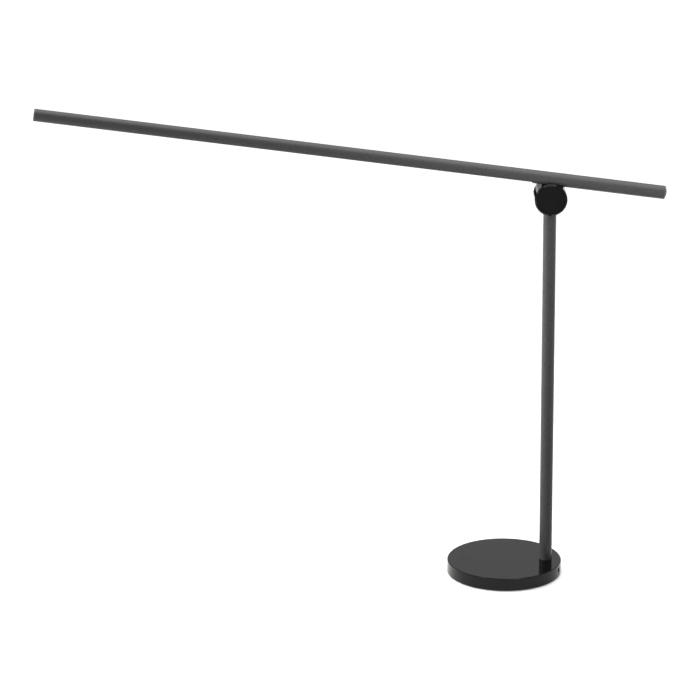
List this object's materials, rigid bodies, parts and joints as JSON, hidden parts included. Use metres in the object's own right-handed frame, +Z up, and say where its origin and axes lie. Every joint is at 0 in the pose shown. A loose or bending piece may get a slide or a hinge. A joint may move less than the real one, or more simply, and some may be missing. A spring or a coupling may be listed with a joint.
{
  "type": "balance desk lamp",
  "caption": "Desk lamp with a long round light bar that tilts on a disc hub at the top of an upright stem, on a heavy round base.",
  "frame": {"origin": "centre of the round base at the face of its foot pad, which rests on the desk", "axes": "+Z up; +X from the base's centre towards the stem and the short, weighted end of the bar; -Y the side of the stem on which the bar is mounted"},
  "size_m": [0.8623, 0.161, 0.6797],
  "materials": {
    "base_gloss_black": "gloss",
    "hub_gloss_black": "gloss",
    "cover_gloss_black": "gloss",
    "button_gloss_black": "gloss",
    "rod_graphite": "satin",
    "saddle_black": "gloss",
    "cap_black": "matte",
    "diffuser_opal": "matte",
    "carrier_aluminium": "satin",
    "board_white": "satin",
    "led_yellow": "gloss",
    "board_green": "satin",
    "component_black": "matte",
    "steel_zinc": "satin",
    "steel_black": "satin",
    "plug_aluminium": "satin",
    "washer_acetal": "satin",
    "pad_rubber": "matte",
    "plate_steel": "satin",
    "jack_black": "satin",
    "pin_nickel": "satin",
    "lead_black": "satin"
  },
  "bodies": {
    "stand": {"foot_pad": "pad_rubber", "bottom_plate": "plate_steel", "plate_screws": "steel_black", "base_weight": "base_gloss_black", "control_board": "board_green", "board_components": "component_black", "board_screws": "steel_zinc", "touch_button": "button_gloss_black", "touch_electrode": "pin_nickel", "inlet_bezel": "jack_black", "power_jack": "jack_black", "jack_pin": "pin_nickel", "stem_washer": "steel_zinc", "stem_nut": "steel_zinc", "stem_nipple": "steel_zinc", "stem_plug": "plug_aluminium", "stem_tube": "rod_graphite", "stem_head": "hub_gloss_black", "head_set_screw": "steel_black", "rear_cover": "cover_gloss_black", "friction_washers": "washer_acetal", "stem_lead": "lead_black"},
    "arm": {"arm_disc": "hub_gloss_black", "front_cover": "cover_gloss_black", "pivot_bolt": "steel_zinc", "spring_washers": "steel_zinc", "pivot_nut": "steel_zinc", "stop_pin": "steel_zinc", "arm_saddle": "saddle_black", "saddle_screws": "steel_black", "nut_bar": "steel_zinc", "arm_tube": "rod_graphite", "led_carrier": "carrier_aluminium", "led_strip": "board_white", "led_chips": "led_yellow", "diffuser": "diffuser_opal", "long_end_cap": "cap_black", "short_end_cap": "cap_black", "counterweight": "steel_zinc", "weight_set_screw": "steel_black", "arm_lead": "lead_black"}
  },
  "joints": [
    {"name": "arm_tilt", "type": "hinge", "parent": "stand", "child": "arm", "pos_m": [0.0585, 0, 0.5514], "axis": [0, 1, 0], "range_deg": [-52.5, 82.5]}
  ]
}
